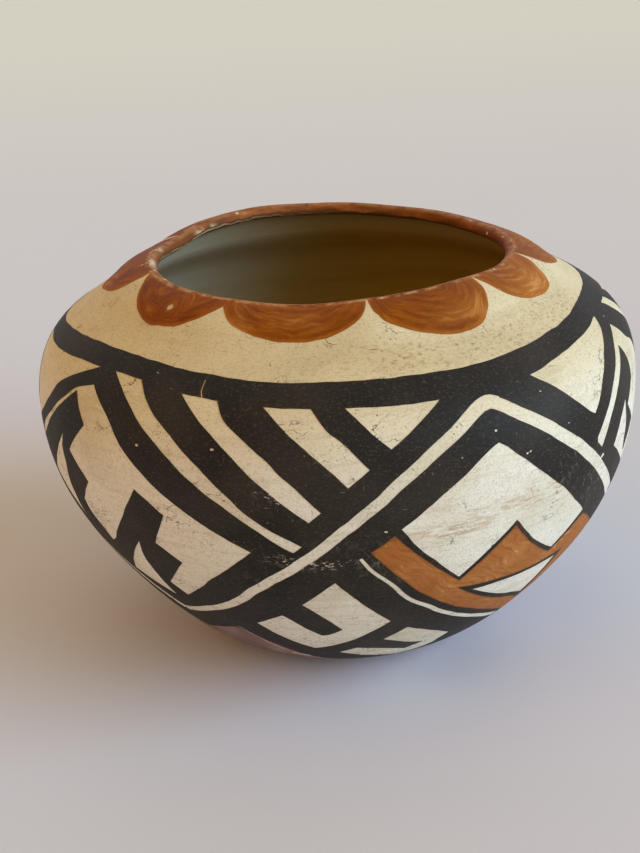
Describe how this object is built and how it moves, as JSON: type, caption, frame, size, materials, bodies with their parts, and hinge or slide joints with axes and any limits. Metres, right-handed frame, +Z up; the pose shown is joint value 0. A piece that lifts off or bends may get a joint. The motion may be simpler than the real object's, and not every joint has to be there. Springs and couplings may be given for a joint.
{
  "type": "pottery jar",
  "caption": "Low, wide-shouldered hand-built pottery jar with a small rounded mouth, a coiled clay wall, and skins of white, red and orange slip; stands on a hollowed foot.",
  "frame": {"origin": "centre of the ring that the jar stands on, in the plane of the table", "axes": "+Z up along the jar's axis; the side that the picture shows faces -Y"},
  "size_m": [0.1562, 0.1562, 0.1012],
  "materials": {
    "clay": "bare fired clay, matte",
    "white_slip": "stone-polished slip",
    "red_slip": "stone-polished slip",
    "orange_slip": "brushed slip, matte"
  },
  "bodies": {
    "root": {"base_pad": "clay", "wall_coil_1": "clay", "wall_coil_2": "clay", "wall_coil_3": "clay", "wall_coil_4": "clay", "wall_coil_5": "clay", "wall_coil_6": "clay", "wall_coil_7": "clay", "rim_coil": "clay", "red_base_slip": "red_slip", "white_slip": "white_slip", "rim_slip": "orange_slip"}
  },
  "joints": []
}
